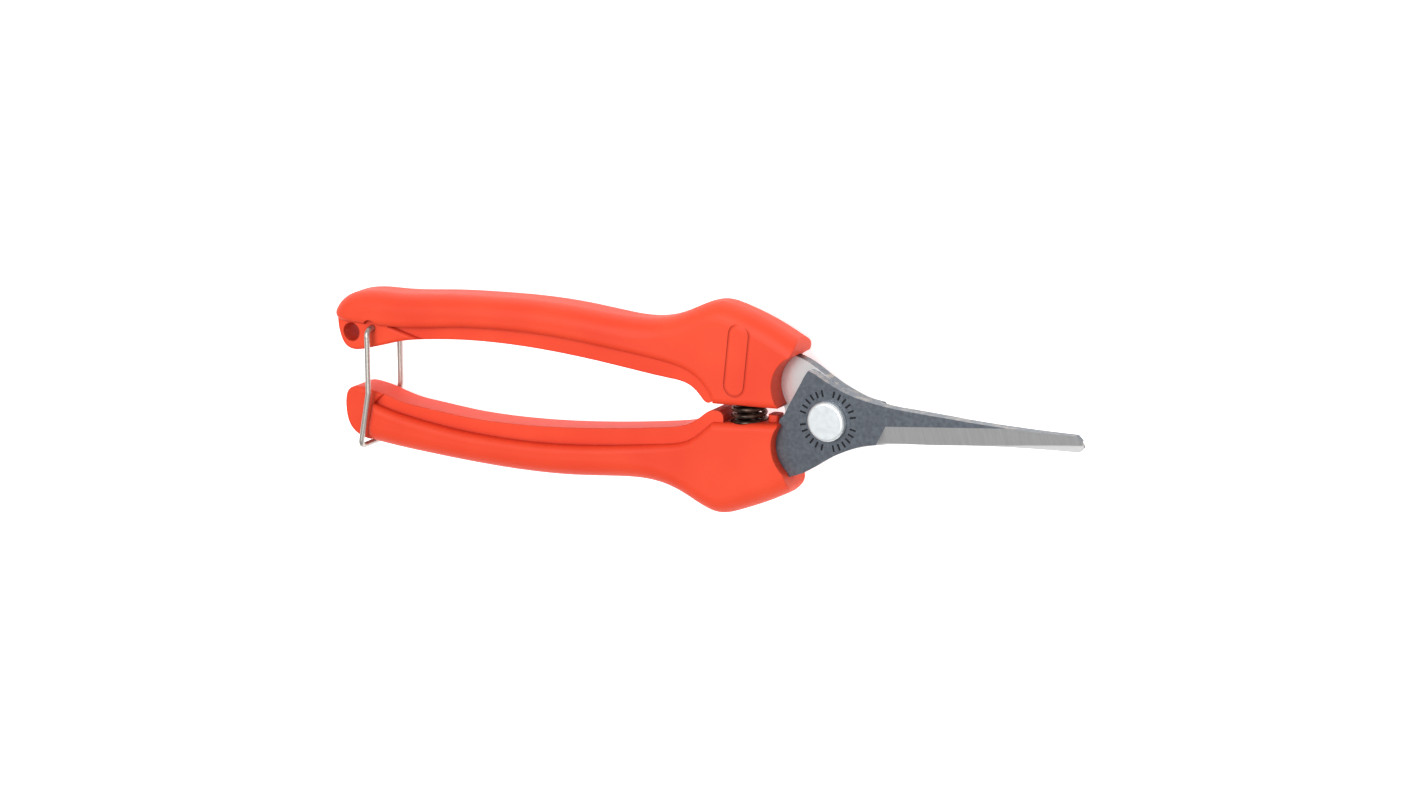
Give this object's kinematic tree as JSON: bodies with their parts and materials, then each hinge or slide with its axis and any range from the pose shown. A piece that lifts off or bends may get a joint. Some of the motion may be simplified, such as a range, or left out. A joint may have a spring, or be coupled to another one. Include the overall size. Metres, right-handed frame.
{
  "type": "floral snips",
  "caption": "Hand snips with narrow straight pointed blades on a rivet, moulded handles, a return spring and a wire clasp over the handle ends.",
  "frame": {"origin": "middle of the underside of the closed, latched snips lying flat", "axes": "+X along the tool to the blade tips, +Y to the handle with the lanyard hole, +Z along the pivot axis to the rivet head"},
  "size_m": [0.1884, 0.049, 0.0158],
  "materials": {
    "handle_polymer": "satin moulded, orange-red",
    "blade_steel": "dark tempered steel, ground cutting facets",
    "rivet_zinc": "bright zinc plate",
    "spring_steel": "oil-blackened spring wire",
    "clasp_wire": "drawn stainless wire"
  },
  "bodies": {
    "upper_half": {"upper_handle": "handle_polymer", "rear_blade": "blade_steel", "pivot_rivet": "rivet_zinc", "rivet_washer": "rivet_zinc", "return_spring": "spring_steel"},
    "lower_half": {"lower_handle": "handle_polymer", "front_blade": "blade_steel"},
    "clasp": {"wire_clasp": "clasp_wire"}
  },
  "joints": [
    {"name": "handle_opening", "type": "hinge", "parent": "upper_half", "child": "lower_half", "pos_m": [0.03386, 0, 0.0079], "axis": [0, 0, 1], "range_deg": [0, 17], "deforming": ["return_spring"]},
    {"name": "clasp_swing", "type": "hinge", "parent": "upper_half", "child": "clasp", "pos_m": [-0.08324, 0.0097, 0.0079], "axis": [0, 0, 1], "range_deg": [-221, 0]}
  ],
  "couplings": [
    {"joint": "clasp_swing", "follows": "handle_opening", "ratio": -13}
  ]
}
